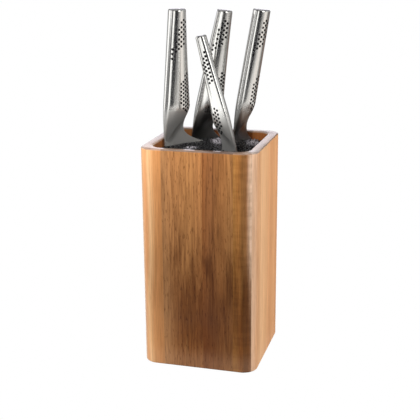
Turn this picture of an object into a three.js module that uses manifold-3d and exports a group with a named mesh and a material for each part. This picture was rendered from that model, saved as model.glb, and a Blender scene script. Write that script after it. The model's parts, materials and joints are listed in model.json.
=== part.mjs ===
// A square wooden knife block with a removable bristle insert and four all-steel knives.
// Millimetres, +Z up. The origin is the centre of the footprint, on the surface the block stands on.
// The front faces -Y. Each knife has a frame of its own: x runs from spine to edge, y across the
// blade's thickness, and z along the line that the knife is drawn out on, from the bristle tops up.
import * as THREE from "three";
import { mergeVertices } from "three/addons/utils/BufferGeometryUtils.js";
import Module from "manifold-3d";

const wasm = await Module();
wasm.setup();

// ---------------------------------------------------------------- driving dimensions
const BLOCK_SIDE = 115;
const WOOD_HEIGHT = 219.5;
const CORNER_RADIUS = 14.4;
const WALL = 9.5;
const INNER_RADIUS = 12.5;
const RIM_BEVEL = 1;
const BASE_BOARD = 12;
const SEAM = 0.3;

const FOOT_HEIGHT = 1.5;
const FOOT_SEAT = 2;
const FOOT_RADIUS = 6;
const FOOT_INSET = 36;

const INSERT_CLEARANCE = 0.8;
const INSERT_PLATE = 3;
const BRISTLE_DROP = 7;

const HANDLE_JOIN = 30;
const NECK_SWEEP = 0.6;
const SHELL_WALL = 1;
const TANG_LENGTH = 16;
const FILL_GAP = 4;
const SLOT_CLEARANCE = 0.45;

// entry: where the spine meets the bristle tops. lean: tilt of the knife towards +X and +Y.
// turn: from +X to the direction spine to edge. droop: slope of the handle's spine off the blade's.
// heel, neck, guard, butt: widths up the knife. grip: greatest thickness. reach: handle above the
// bristles. depth: blade below them. tip: how far the tip lies from the spine. The curve powers say
// how late the spine drops and how late the edge curves in.
const KNIVES = [
  {
    name: "chef_knife",
    entry: [-46.1, -9.4], lean: [0.2, -1.5], turn: 46, droop: 5.2,
    heel: 44, neck: 21.8, guard: 28.4, butt: 17, grip: 15.8, reach: 132,
    neckAt: 18, guardAt: 38, depth: 188, tip: 12, spinePower: 4, edgePower: 2.6,
  },
  {
    name: "santoku_knife",
    entry: [-31.1, 34.3], lean: [6.7, 0.4], turn: 15, droop: 6.5,
    heel: 38, neck: 20.4, guard: 27.4, butt: 15.5, grip: 15.2, reach: 132,
    neckAt: 16, guardAt: 38, depth: 150, tip: 25, spinePower: 5, edgePower: 6,
  },
  {
    name: "utility_knife",
    entry: [13.6, 29.6], lean: [6.5, 0.3], turn: 44, droop: 4.4,
    heel: 24.4, neck: 14.6, guard: 20.3, butt: 17.6, grip: 14.8, reach: 132,
    neckAt: 17, guardAt: 40, depth: 165, tip: 10, spinePower: 4, edgePower: 3,
  },
  {
    name: "paring_knife",
    entry: [29, -14.8], lean: [-11.4, -1.5], turn: 170, droop: 5.5,
    heel: 17.8, neck: 13.8, guard: 18, butt: 10, grip: 10.5, reach: 114,
    neckAt: 12, guardAt: 32, depth: 78, tip: 11, spinePower: 3, edgePower: 3,
  },
];

const woodTop = FOOT_HEIGHT + WOOD_HEIGHT;
const bristleTop = woodTop - BRISTLE_DROP;
const half = BLOCK_SIDE / 2;
const innerHalf = half - WALL;
const degrees = Math.PI / 180;

// ---------------------------------------------------------------- materials
const steel = (color, roughness) => new THREE.MeshStandardMaterial({
  color, roughness, metalness: 1, flatShading: true,
});
const wood = (color) => new THREE.MeshStandardMaterial({
  color, roughness: 0.45, metalness: 0, flatShading: true,
});
const plastic = (color, roughness) => new THREE.MeshStandardMaterial({
  color, roughness, metalness: 0, flatShading: true,
});

// ---------------------------------------------------------------- solids
// The closed solid through equal rings of points, with a flat cap at each end.
function loft(rings) {
  const size = rings[0].length;
  const points = rings.flat();
  const faces = [];
  for (let r = 0; r + 1 < rings.length; r += 1) {
    for (let i = 0; i < size; i += 1) {
      const a = r * size + i;
      const b = r * size + ((i + 1) % size);
      faces.push(a, b, b + size, a, b + size, a + size);
    }
  }
  for (const [ring, flip] of [[0, true], [rings.length - 1, false]]) {
    const middle = new THREE.Vector3();
    for (const point of rings[ring]) middle.add(point);
    points.push(middle.divideScalar(size));
    for (let i = 0; i < size; i += 1) {
      const a = ring * size + i;
      const b = ring * size + ((i + 1) % size);
      faces.push(points.length - 1, flip ? b : a, flip ? a : b);
    }
  }
  return new THREE.BufferGeometry().setFromPoints(points).setIndex(faces);
}

function toSolid(geometry) {
  const bare = geometry.clone();
  bare.deleteAttribute("normal");
  bare.deleteAttribute("uv");
  const merged = mergeVertices(bare, 1e-4);
  return new wasm.Manifold(new wasm.Mesh({
    numProp: 3,
    vertProperties: merged.attributes.position.array,
    triVerts: new Uint32Array(merged.index.array),
  }));
}

function toGeometry(solid) {
  const mesh = solid.getMesh();
  const geometry = new THREE.BufferGeometry();
  geometry.setAttribute("position", new THREE.BufferAttribute(mesh.vertProperties, 3));
  return geometry.setIndex(new THREE.BufferAttribute(mesh.triVerts, 1));
}

function named(name, geometry, material) {
  const flat = geometry.index ? geometry.toNonIndexed() : geometry;
  flat.computeVertexNormals();
  const mesh = new THREE.Mesh(flat, material);
  mesh.name = name;
  return mesh;
}

// A ring of points round a square with round corners, counter-clockwise, at height z.
function roundedSquare(halfSide, radius, z, steps = 5) {
  const ring = [];
  for (let corner = 0; corner < 4; corner += 1) {
    const start = (corner * Math.PI) / 2;
    const middle = start + Math.PI / 4;
    const reach = (halfSide - radius) * Math.SQRT2;
    for (let step = 0; step <= steps; step += 1) {
      const angle = start + (step / steps) * (Math.PI / 2);
      ring.push(new THREE.Vector3(
        reach * Math.cos(middle) + radius * Math.cos(angle),
        reach * Math.sin(middle) + radius * Math.sin(angle),
        z,
      ));
    }
  }
  return ring;
}

// ---------------------------------------------------------------- wooden block
// The four walls as one hollow tube, with its rim and foot edges bevelled.
function wallTube() {
  const outer = loft([
    roundedSquare(half - RIM_BEVEL, CORNER_RADIUS - RIM_BEVEL, FOOT_HEIGHT),
    roundedSquare(half, CORNER_RADIUS, FOOT_HEIGHT + RIM_BEVEL),
    roundedSquare(half, CORNER_RADIUS, woodTop - RIM_BEVEL),
    roundedSquare(half - RIM_BEVEL, CORNER_RADIUS - RIM_BEVEL, woodTop),
  ]);
  const inner = loft([
    roundedSquare(innerHalf, INNER_RADIUS, FOOT_HEIGHT - 1),
    roundedSquare(innerHalf, INNER_RADIUS, woodTop - RIM_BEVEL),
    roundedSquare(innerHalf + 2 * RIM_BEVEL, INNER_RADIUS + 2 * RIM_BEVEL, woodTop + RIM_BEVEL),
  ]);
  return toSolid(outer).subtract(toSolid(inner));
}

// The upright prism of one stave of the front wall. A cut of null is the mitre at that corner.
function stavePrism(left, right) {
  const outside = half + 5;
  const inside = innerHalf - 8;
  const edge = (cut, depth, side) => (cut === null
    ? side * (depth - SEAM * Math.SQRT1_2)
    : cut - (side * SEAM) / 2);
  const at = (z) => [
    new THREE.Vector3(edge(left, outside, -1), -outside, z),
    new THREE.Vector3(edge(right, outside, 1), -outside, z),
    new THREE.Vector3(edge(right, inside, 1), -inside, z),
    new THREE.Vector3(edge(left, inside, -1), -inside, z),
  ];
  return loft([at(FOOT_HEIGHT - 1), at(woodTop + 1)]);
}

// Seams of each wall, seen from outside and counted from its middle, and the tone of each stave.
const WALLS = [
  { name: "front", seams: [-34, 6, 36], tones: [0xd9a878, 0x8a5a35, 0x6d4126, 0x5b3b22] },
  { name: "right", seams: [-33, -2, 30], tones: [0xe6c3a2, 0xdba878, 0xd6a070, 0xcf9a6a] },
  { name: "back", seams: [-30, 2, 28], tones: [0xc08a5c, 0x7d5130, 0xa56f45, 0xd2a274] },
  { name: "left", seams: [-28, 4, 34], tones: [0xc79566, 0x93623c, 0xb07a4d, 0xd9a878] },
];

function buildWalls(block) {
  const tube = wallTube();
  WALLS.forEach((wall, side) => {
    const cuts = [null, ...wall.seams, null];
    wall.tones.forEach((tone, i) => {
      const prism = stavePrism(cuts[i], cuts[i + 1]).rotateZ((side * Math.PI) / 2);
      const stave = tube.intersect(toSolid(prism));
      block.add(named(`${wall.name}_stave_${i + 1}`, toGeometry(stave), wood(tone)));
    });
  });
}

function footPlaces() {
  return [[-1, -1], [1, -1], [1, 1], [-1, 1]].map(([x, y]) => [x * FOOT_INSET, y * FOOT_INSET]);
}

function disc(radius, bottom, top, [x, y]) {
  return new THREE.CylinderGeometry(radius, radius, top - bottom, 20)
    .rotateX(Math.PI / 2)
    .translate(x, y, (bottom + top) / 2);
}

function buildBase(block) {
  const side = innerHalf - SEAM;
  let board = toSolid(loft([
    roundedSquare(side, INNER_RADIUS - SEAM, FOOT_HEIGHT),
    roundedSquare(side, INNER_RADIUS - SEAM, FOOT_HEIGHT + BASE_BOARD),
  ]));
  footPlaces().forEach((place, i) => {
    const seat = disc(FOOT_RADIUS + SEAM, -1, FOOT_HEIGHT + FOOT_SEAT + SEAM, place);
    board = board.subtract(toSolid(seat));
    const foot = disc(FOOT_RADIUS, 0, FOOT_HEIGHT + FOOT_SEAT, place);
    block.add(named(`rubber_foot_${i + 1}`, foot, plastic(0x1d1d1d, 0.9)));
  });
  block.add(named("base_board", toGeometry(board), wood(0xb98a5e)));
}

// ---------------------------------------------------------------- knife shape
const smooth = (u) => {
  const t = Math.min(Math.max(u, 0), 1);
  return t * t * (3 - 2 * t);
};

// How far the handle's spine has moved towards the edge at height z: an arc, then a straight slope.
const BEND_START = 16;
const BEND_LENGTH = 25;
function droopAt(knife, z) {
  const rise = Math.max(z - BEND_START, 0);
  const slope = Math.tan(knife.droop * degrees);
  return rise < BEND_LENGTH
    ? (slope * rise * rise) / (2 * BEND_LENGTH)
    : slope * (rise - BEND_LENGTH / 2);
}

// Width from spine to belly at height z above the bristles.
function widthAt(knife, z) {
  const { heel, neck, guard, butt, neckAt, guardAt, reach } = knife;
  if (z < neckAt) return neck + (heel - neck) * Math.pow(1 - z / neckAt, 2.4);
  if (z < guardAt) return neck + (guard - neck) * smooth((z - neckAt) / (guardAt - neckAt));
  const up = (z - guardAt) / (reach - guardAt);
  return guard + (butt - guard) * (1.15 * up - 0.15 * up * up);
}

const BLADE_BACK = 2.2;
const BLADE_EDGE = 0.5;
function thicknessAt(knife, z) {
  const rise = Math.sin((Math.PI / 2) * Math.min(z / (knife.guardAt + 4), 1));
  return BLADE_BACK + (knife.grip - BLADE_BACK) * Math.pow(Math.max(rise, 0), 1.4);
}

// One side of the grip's section: how far along the width, and the share of the thickness there.
const GRIP_SIDE = [[0, 0.17], [0.09, 0.38], [0.35, 0.5], [0.65, 0.46], [0.88, 0.29], [1, 0.08]];

const ring = (sides, z) => [
  ...sides.map(([x, y]) => new THREE.Vector3(x, -y, z)),
  ...sides.map(([x, y]) => new THREE.Vector3(x, y, z)).reverse(),
];

// The grip's outer section, drawn in by inset all round.
function gripRing(knife, z, inset = 0) {
  const width = widthAt(knife, z);
  const thick = thicknessAt(knife, z);
  const shrink = (thick - 2 * inset) / thick;
  return ring(GRIP_SIDE.map(([u, v]) => [
    droopAt(knife, z) + inset + u * (width - 2 * inset),
    v * thick * shrink,
  ]), z);
}

// The blade's outline at a share of its depth: where its spine and its edge lie.
function bladeAt(knife, share) {
  const { tip, heel, spinePower, edgePower } = knife;
  return [
    tip * Math.pow(share, spinePower),
    tip + (heel - tip) * (1 - Math.pow(share, edgePower)),
  ];
}

function bladeRing(knife, share) {
  const [spine, edge] = bladeAt(knife, share);
  const sides = GRIP_SIDE.map(([u]) => [
    spine + u * (edge - spine),
    (BLADE_BACK + (BLADE_EDGE - BLADE_BACK) * u) / 2,
  ]);
  return ring(sides, -share * knife.depth);
}

// Above the heel the blade thickens into the grip, at the spine first and at the belly last.
function neckRing(knife, z) {
  const width = widthAt(knife, z);
  const thick = thicknessAt(knife, z);
  const ridge = -0.14 + (1.14 * z) / HANDLE_JOIN;
  const sides = GRIP_SIDE.map(([u, v]) => {
    const thin = (BLADE_BACK + (BLADE_EDGE - BLADE_BACK) * u) / 2;
    const full = Math.max(v * thick, thin);
    const fall = Math.min(Math.max((u - ridge) / NECK_SWEEP, 0), 1);
    return [droopAt(knife, z) + u * width, thin + (full - thin) * (1 - fall) ** 2.2];
  });
  return ring(sides, z);
}

const BLADE_SHARES = [0.985, 0.95, 0.88, 0.76, 0.6, 0.4, 0.2, 0.05];
const NECK_HEIGHTS = [1.5, 4, 7, 11, 16, 21, 26];

function bladeSolid(knife) {
  const blade = loft([
    ...BLADE_SHARES.map((share) => bladeRing(knife, share)),
    ...NECK_HEIGHTS.map((z) => neckRing(knife, z)),
    neckRing(knife, HANDLE_JOIN),
  ]);
  const stub = (z) => {
    const middle = droopAt(knife, z) + widthAt(knife, z) / 2;
    const reach = widthAt(knife, HANDLE_JOIN) * 0.22;
    return ring([[middle - reach, 1.5], [middle + reach, 1.5]], z);
  };
  const tang = loft([stub(HANDLE_JOIN - 3), stub(HANDLE_JOIN + TANG_LENGTH)]);
  return toSolid(blade).add(toSolid(tang));
}

const heights = (from, to, count) => Array.from(
  { length: count + 1 },
  (_, i) => from + ((to - from) * i) / count,
);

// The grip as two hollow pressings that meet on the knife's middle plane.
function handleShells(knife) {
  const bottom = HANDLE_JOIN + SEAM;
  const outer = loft([
    ...heights(bottom, knife.reach - 2, 9).map((z) => gripRing(knife, z)),
    gripRing(knife, knife.reach, 1.2),
  ]);
  const hollowTop = knife.reach - 2 - SHELL_WALL;
  const hollow = loft(heights(bottom - 3, hollowTop, 8).map((z) => gripRing(knife, z, SHELL_WALL)));
  const pressing = toSolid(outer).subtract(toSolid(hollow));
  const side = (sign) => {
    const slab = new THREE.BoxGeometry(120, 40, 400)
      .translate(0, sign * (20 + SEAM / 2), 0);
    return toGeometry(pressing.intersect(toSolid(slab)));
  };
  return [side(-1), side(1)];
}

function handleFill(knife) {
  const inset = SHELL_WALL + SEAM + 0.1;
  const bottom = HANDLE_JOIN + TANG_LENGTH + FILL_GAP;
  const top = knife.reach - 3 * FILL_GAP;
  return loft(heights(bottom, top, 5).map((z) => gripRing(knife, z, inset)));
}

// The room the blade needs in the bristles, open upwards along the line the knife is drawn out on.
function bladeSlot(knife) {
  const gap = SLOT_CLEARANCE;
  const thick = BLADE_BACK / 2 + gap;
  const at = (spine, edge, z) => ring([[spine - gap, thick], [edge + gap, thick]], z);
  return loft([
    at(...bladeAt(knife, 1), -knife.depth - gap),
    ...BLADE_SHARES.map((share) => at(...bladeAt(knife, share), -share * knife.depth)),
    at(0, knife.heel, 0),
    at(0, knife.heel, 30),
  ]);
}

// The matrix that sets a knife's own frame in the block.
function knifePlace(knife) {
  const [leanX, leanY] = knife.lean.map((angle) => Math.tan(angle * degrees));
  const up = new THREE.Vector3(leanX, leanY, 1).normalize();
  const level = new THREE.Vector3(1, 0, 0).addScaledVector(up, -up.x).normalize();
  const toEdge = level.applyAxisAngle(up, knife.turn * degrees);
  const across = new THREE.Vector3().crossVectors(up, toEdge);
  return new THREE.Matrix4()
    .makeBasis(toEdge, across, up)
    .setPosition(knife.entry[0], knife.entry[1], bristleTop);
}

function buildKnife(knife) {
  const group = new THREE.Group();
  knifePlace(knife).decompose(group.position, group.quaternion, group.scale);
  const [near, far] = handleShells(knife);
  group.add(
    named(`${knife.name}_blade`, toGeometry(bladeSolid(knife)), steel(0xb4b6b8, 0.35)),
    named(`${knife.name}_handle_shell_1`, near, steel(0xc2c3c4, 0.25)),
    named(`${knife.name}_handle_shell_2`, far, steel(0xc2c3c4, 0.25)),
    named(`${knife.name}_balance_fill`, handleFill(knife), plastic(0xb9a98a, 0.95)),
  );
  return group;
}

// ---------------------------------------------------------------- bristle insert
function buildInsert(block) {
  const side = innerHalf - INSERT_CLEARANCE;
  const radius = INNER_RADIUS - INSERT_CLEARANCE;
  const plateBottom = FOOT_HEIGHT + BASE_BOARD + SEAM;
  const plateTop = plateBottom + INSERT_PLATE;
  const plate = loft([
    roundedSquare(side, radius, plateBottom),
    roundedSquare(side, radius, plateTop),
  ]);
  let bristles = toSolid(loft([
    roundedSquare(side, radius, plateTop + SEAM),
    roundedSquare(side, radius, bristleTop - SEAM),
  ]));
  for (const knife of KNIVES) {
    bristles = bristles.subtract(toSolid(bladeSlot(knife).applyMatrix4(knifePlace(knife))));
  }
  block.add(named("insert_base_plate", plate, plastic(0x161616, 0.6)));
  block.add(named("bristle_bundle", toGeometry(bristles), plastic(0x101010, 0.5)));
}

const knifeBlock = new THREE.Group();
buildWalls(knifeBlock);
buildBase(knifeBlock);
buildInsert(knifeBlock);
for (const knife of KNIVES) knifeBlock.add(buildKnife(knife));

export default knifeBlock;
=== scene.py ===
import json
import math

import bpy
import numpy as np
from mathutils import Matrix, Vector


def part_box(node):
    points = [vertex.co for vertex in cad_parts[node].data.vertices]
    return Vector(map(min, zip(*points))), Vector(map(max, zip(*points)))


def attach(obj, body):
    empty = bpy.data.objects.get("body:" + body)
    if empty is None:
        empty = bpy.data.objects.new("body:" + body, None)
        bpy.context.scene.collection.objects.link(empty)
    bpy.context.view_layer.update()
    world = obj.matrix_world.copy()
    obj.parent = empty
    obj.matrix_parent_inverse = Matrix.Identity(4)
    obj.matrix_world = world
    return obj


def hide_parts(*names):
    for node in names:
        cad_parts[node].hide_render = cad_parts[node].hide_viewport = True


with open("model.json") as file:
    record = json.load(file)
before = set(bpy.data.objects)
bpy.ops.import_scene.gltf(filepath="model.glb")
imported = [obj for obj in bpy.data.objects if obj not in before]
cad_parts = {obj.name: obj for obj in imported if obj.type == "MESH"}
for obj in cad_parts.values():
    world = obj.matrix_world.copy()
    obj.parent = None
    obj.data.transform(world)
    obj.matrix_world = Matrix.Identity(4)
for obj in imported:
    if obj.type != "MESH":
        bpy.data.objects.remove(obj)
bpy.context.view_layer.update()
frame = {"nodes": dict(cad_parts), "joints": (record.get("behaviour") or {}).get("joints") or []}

# The looks of a wooden knife block with a bristle insert and four all-steel knives.
MM = 0.001
SCENE = bpy.context.scene
SCENE.view_settings.view_transform = "Standard"

# ------------------------------------------------------------------ sizes, most from the frame
front_low, front_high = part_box("front_stave_2")
WOOD_BOTTOM, WOOD_TOP = front_low.z, front_high.z
BLOCK_HALF, INNER_HALF = -front_low.y, -front_high.y
CORNER_RADIUS = 14.4 * MM
INNER_RADIUS = 12.5 * MM
# The CAD leaves this gap between neighbours. The pieces here close it.
SEAM = 0.3 * MM
BRISTLE_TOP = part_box("bristle_bundle")[1].z + SEAM


# ------------------------------------------------------------------ camera
CAMERA_AZIMUTH, CAMERA_ELEVATION, CAMERA_ROLL = (math.radians(a) for a in (15.67, 16.35, -0.38))
CAMERA_DISTANCE, CAMERA_RIGHT, CAMERA_UP = 0.9674, -0.0031, 0.1411
LENS = 78.93


def make_camera():
    """The photo's camera, as solved from the corners of the block."""
    back = Vector((
        math.sin(CAMERA_AZIMUTH) * math.cos(CAMERA_ELEVATION),
        -math.cos(CAMERA_AZIMUTH) * math.cos(CAMERA_ELEVATION),
        math.sin(CAMERA_ELEVATION),
    ))
    level = Vector((math.cos(CAMERA_AZIMUTH), math.sin(CAMERA_AZIMUTH), 0))
    right = level * math.cos(CAMERA_ROLL) + back.cross(level) * math.sin(CAMERA_ROLL)
    up = back.cross(right)
    data = bpy.data.cameras.new("camera")
    data.sensor_width = 36
    data.lens = LENS
    data.clip_start = 0.05
    camera = bpy.data.objects.new("camera", data)
    SCENE.collection.objects.link(camera)
    turn = Matrix((right, up, back)).transposed().to_4x4()
    base = Vector((0, 0, WOOD_BOTTOM))
    place = base + back * CAMERA_DISTANCE + right * CAMERA_RIGHT + up * CAMERA_UP
    camera.matrix_world = Matrix.Translation(place) @ turn
    SCENE.camera = camera


# ------------------------------------------------------------------ studio
# Lights for everything but the gloss: place, aim, size and power.
LIGHTS = (
    ("front_top", (-0.03, -0.22, 0.44), (0, -0.05, 0.2), (0.26, 0.14), 1.62),
    ("left_side", (-0.95, -0.02, 0.25), (0, 0, 0.15), (0.6, 0.7), 7.5),
    ("right_side", (1.05, 0.0, 0.27), (0, 0, 0.15), (0.6, 0.8), 13),
    ("back_side", (-0.2, 1.2, 0.6), (0, 0, 0.2), (1.2, 0.8), 6),
    ("floor_bounce", (0, -0.13, 0.002), (0, -0.05, 0.012), (0.24, 0.04), 0.06),
)
# Panels that only the gloss sees stand in a ring round the block. Each has the azimuths and the
# heights that it runs between, in degrees from +X and in metres, and its light,
# a grey or a colour.
RING_RADIUS = 1.3
PANELS = (
    ("low_left_edge", 88, 118, -0.8, -0.2, 0.45),
    ("low_left", 118, 250, -0.8, -0.2, (1.9, 1.9, 1.88)),
    ("left_edge_card", 88, 144, -0.2, 0.05, 0.4),
    ("left_panel", 144, 184, -0.2, 0.05, 1.3),
    ("left_gap_card", 184, 212, -0.2, 0.05, 0.2),
    ("front_left_panel", 212, 250, -0.2, 0.05, (1.4, 1.4, 1.38)),
    ("back_low_card", 88, 128, 0.05, 0.3, 0.42),
    ("high_left_edge", 128, 158, 0.05, 1.0, 0.42),
    ("high_left", 158, 190, 0.05, 1.0, 1.4),
    ("high_left_grey", 190, 203, 0.05, 1.0, 0.3),
    ("high_left_card", 203, 230, 0.05, 1.0, 0.12),
    ("high_left_pale", 230, 243, 0.05, 1.0, 0.55),
    ("front_left_high", 243, 270, 0.05, 1.0, (1.4, 1.4, 1.38)),
    ("front_left_low", 250, 270, -0.14, 0.05, (1.4, 1.4, 1.38)),
    ("front_left_edge", 270, 288, -0.02, 0.17, (1.4, 1.4, 1.38)),
    ("front_left_line", 270, 279, 0.17, 1.0, (1.4, 1.4, 1.38)),
    ("front_card_low", 250, 270, -0.8, -0.14, (0.09, 0.092, 0.1)),
    ("front_card_edge", 270, 287, -0.8, -0.02, (0.09, 0.092, 0.1)),
    ("front_card", 288, 314, -0.08, 0.17, (0.04, 0.041, 0.045)),
    ("front_card_high", 279, 314, 0.17, 0.42, (0.04, 0.041, 0.045)),
    ("front_low_light", 287, 314, -0.8, -0.08, (0.95, 0.93, 0.9)),
    ("right_low_light", 314, 349, -0.8, -0.03, (0.95, 0.93, 0.9)),
    ("right_card", 314, 330, -0.03, 0.42, (0.26, 0.255, 0.25)),
    ("right_grey", 330, 349, -0.03, 0.42, (0.54, 0.53, 0.52)),
    ("right_panel", 349, 375, -0.8, 0.42, (1.0, 0.95, 0.9)),
    ("right_panel_low", 375, 402, -0.8, -0.2, (0.88, 0.84, 0.79)),
    ("right_pale", 375, 388, -0.2, 0.42, (0.5, 0.49, 0.47)),
    ("right_far_card", 388, 402, -0.2, 0.42, (0.2, 0.19, 0.18)),
    ("right_high", 318, 347, 0.42, 1.2, (4.2, 4.2, 4.1)),
    ("spine_card", 347, 366, 0.42, 1.2, 0.34),
    ("spine_light", 366, 384, 0.42, 1.2, 0.95),
    ("spine_card_far", 384, 430, 0.42, 1.2, 0.42),
    ("right_edge_card", 402, 430, 0.1, 0.42, 0.26),
    ("back_right_card", 402, 448, -0.8, 0.1, (0.26, 0.205, 0.18)),
    ("back_panel", 85, 128, 0.3, 0.545, (1.32, 1.28, 1.4)),
    ("back_high", 80, 135, 1.0, 1.7, (1.2, 1.2, 1.3)),
)
# The table and the ceiling are flat parts of a ring, seen by the gloss alone: azimuths, inner
# and outer radius, height and light.
TABLES = (
    ("table_left", 90, 252, 0.4, 0.78, 0, (1.85, 1.85, 1.83)),
    ("table_front", 252, 294, 0.4, 0.66, 0, (0.9, 0.9, 0.88)),
    ("table_right", 294, 410, 0.62, 0.8, 0, (1.15, 1.13, 1.1)),
    ("table_right_near", 294, 410, 0.4, 0.62, 0, (0.11, 0.065, 0.045)),
    ("ceiling", 0, 360, 0.01, 1.0, 1.6, 0.4),
)
ARC_STEPS = 12
FLOOR_HALF = 4


def area_light(name, place, aim, size, power):
    data = bpy.data.lights.new(name, "AREA")
    data.shape = "RECTANGLE"
    data.size, data.size_y = size
    data.energy = power
    light = bpy.data.objects.new(name, data)
    SCENE.collection.objects.link(light)
    direction = Vector(aim) - Vector(place)
    light.location = place
    light.rotation_euler = direction.to_track_quat("-Z", "Y").to_euler()
    light.visible_camera = False
    light.visible_glossy = False


def emitter(name, strength):
    """A plain glowing white, with the same light all over it."""
    material = bpy.data.materials.new(name)
    material.use_nodes = True
    nodes = material.node_tree.nodes
    nodes.remove(nodes["Principled BSDF"])
    glow = nodes.new("ShaderNodeEmission")
    glow.inputs["Color"].default_value = (*strength, 1)
    glow.inputs["Strength"].default_value = 1.0
    material.cycles.emission_sampling = "NONE"
    target = nodes["Material Output"].inputs["Surface"]
    material.node_tree.links.new(glow.outputs["Emission"], target)
    return material


def stage_mesh(name, vertices, faces, light, camera):
    """A glowing surface that either the camera or the gloss sees, and nothing else."""
    mesh = bpy.data.meshes.new(name)
    mesh.from_pydata(vertices, [], faces)
    mesh.materials.append(emitter(name, light))
    card = bpy.data.objects.new(name, mesh)
    SCENE.collection.objects.link(card)
    card.visible_camera = camera
    card.visible_glossy = not camera
    card.visible_diffuse = False
    card.visible_shadow = False


def arc_card(name, start, end, near, far, light):
    """A card along an arc between two azimuths and two edges, each a radius and a height."""
    turns = [math.radians(start + (end - start) * k / ARC_STEPS) for k in range(ARC_STEPS + 1)]
    vertices = [(radius * math.cos(turn), radius * math.sin(turn), height)
                for radius, height in (near, far) for turn in turns]
    faces = [(k, k + 1, k + ARC_STEPS + 2, k + ARC_STEPS + 1) for k in range(ARC_STEPS)]
    color = light if isinstance(light, tuple) else (light,) * 3
    stage_mesh(name, vertices, faces, color, camera=False)


def make_studio():
    world = bpy.data.worlds.new("studio")
    SCENE.world = world
    world.use_nodes = True
    world.node_tree.nodes["Background"].inputs["Color"].default_value = (1, 1, 1, 1)
    world.cycles_visibility.diffuse = False
    world.cycles_visibility.glossy = False
    for light in LIGHTS:
        area_light(*light)
    corners = [(x * FLOOR_HALF, y * FLOOR_HALF, 0) for x, y in ((-1, -1), (1, -1), (1, 1), (-1, 1))]
    stage_mesh("floor", corners, [(0, 1, 2, 3)], (1, 1, 1), camera=True)
    for name, start, end, low, high, light in PANELS:
        arc_card(name, start, end, (RING_RADIUS, low), (RING_RADIUS, high), light)
    for name, start, end, inner, outer, height, light in TABLES:
        arc_card(name, start, end, (inner, height), (outer, height), light)


# ------------------------------------------------------------------ materials and pieces
class Paint:
    """A Principled material, with short calls for the nodes that feed it."""

    def __init__(self, name):
        self.material = bpy.data.materials.new(name)
        self.material.use_nodes = True
        self.nodes = self.material.node_tree.nodes
        self.links = self.material.node_tree.links
        self.shader = self.nodes["Principled BSDF"]

    def feed(self, node, socket, value):
        """A link into the socket where value is an output, and else its number or colour."""
        if isinstance(value, bpy.types.NodeSocket):
            self.links.new(value, node.inputs[socket])
        else:
            node.inputs[socket].default_value = value

    def set(self, *pairs):
        for socket, value in pairs:
            self.feed(self.shader, socket, value)

    def place(self, scale, turn=0.0, offset=(0, 0, 0)):
        """Object coordinates, turned (about Z, or by an Euler rotation), then scaled."""
        rotation = turn if isinstance(turn, tuple) else (0, 0, turn)
        where = self.nodes.new("ShaderNodeTexCoord").outputs["Object"]
        turned = self.nodes.new("ShaderNodeMapping")
        turned.inputs["Rotation"].default_value = rotation
        self.links.new(where, turned.inputs["Vector"])
        scaled = self.nodes.new("ShaderNodeMapping")
        scaled.inputs["Scale"].default_value = scale
        scaled.inputs["Location"].default_value = offset
        self.links.new(turned.outputs["Vector"], scaled.inputs["Vector"])
        return scaled.outputs["Vector"]

    def axes(self, turn=0.0):
        """Where a point is, as the outputs "X", "Y" and "Z", in metres."""
        node = self.nodes.new("ShaderNodeSeparateXYZ")
        self.links.new(self.place((1, 1, 1), turn), node.inputs["Vector"])
        return node.outputs

    def noise(self, vector, detail=3.0, rough=0.55, distortion=0.0):
        node = self.nodes.new("ShaderNodeTexNoise")
        self.links.new(vector, node.inputs["Vector"])
        node.inputs["Scale"].default_value = 1.0
        node.inputs["Detail"].default_value = detail
        node.inputs["Roughness"].default_value = rough
        node.inputs["Distortion"].default_value = distortion
        return node.outputs["Fac"]

    def span(self, value, low, high, to_low=0.0, to_high=1.0, smooth=True):
        """value from low to high, as a number from to_low to to_high."""
        node = self.nodes.new("ShaderNodeMapRange")
        node.interpolation_type = "SMOOTHSTEP" if smooth else "LINEAR"
        for socket, number in (("From Min", low), ("From Max", high),
                               ("To Min", to_low), ("To Max", to_high)):
            node.inputs[socket].default_value = number
        self.links.new(value, node.inputs["Value"])
        return node.outputs["Result"]

    def ripple(self, noise, low, high, smooth=True):
        """The range that most of a noise lies in, as a number from low to high."""
        return self.span(noise, 0.3, 0.7, low, high, smooth)

    def math(self, operation, a, b):
        node = self.nodes.new("ShaderNodeMath")
        node.operation = operation
        self.feed(node, 0, a)
        self.feed(node, 1, b)
        return node.outputs["Value"]

    def mix(self, share, a, b, blend="MIX"):
        node = self.nodes.new("ShaderNodeMix")
        node.data_type = "RGBA"
        node.blend_type = blend
        self.feed(node, "Factor", share)
        # Sockets 6 and 7 and output 2 are the ones for colours.
        self.feed(node, 6, a)
        self.feed(node, 7, b)
        return node.outputs[2]

    def tinted(self, color, tint):
        return self.mix(1.0, color, (*tint, 1), "MULTIPLY")

    def bump(self, height, distance, strength):
        node = self.nodes.new("ShaderNodeBump")
        node.inputs["Strength"].default_value = strength
        node.inputs["Distance"].default_value = distance
        self.links.new(height, node.inputs["Height"])
        self.set(("Normal", node.outputs["Normal"]))


def srgb(red, green, blue):
    """A colour given in 0 to 255, as the linear numbers that a shader takes."""
    def linear(c):
        c /= 255
        return c / 12.92 if c <= 0.04045 else ((c + 0.055) / 1.055) ** 2.4
    return (linear(red), linear(green), linear(blue), 1)


def grain_material(name, scale, detail, dark, light, rough, bump=None, specular=0.5):
    """A plain material with a fine grain, from one colour and roughness to the other."""
    paint = Paint(name)
    grain = paint.noise(paint.place((scale, scale, scale)), detail)
    paint.set(("Base Color", paint.mix(grain, srgb(*dark), srgb(*light))),
              ("Roughness", paint.ripple(grain, *rough)), ("Specular IOR Level", specular))
    if bump:
        paint.bump(grain, *bump)
    return paint.material


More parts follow.
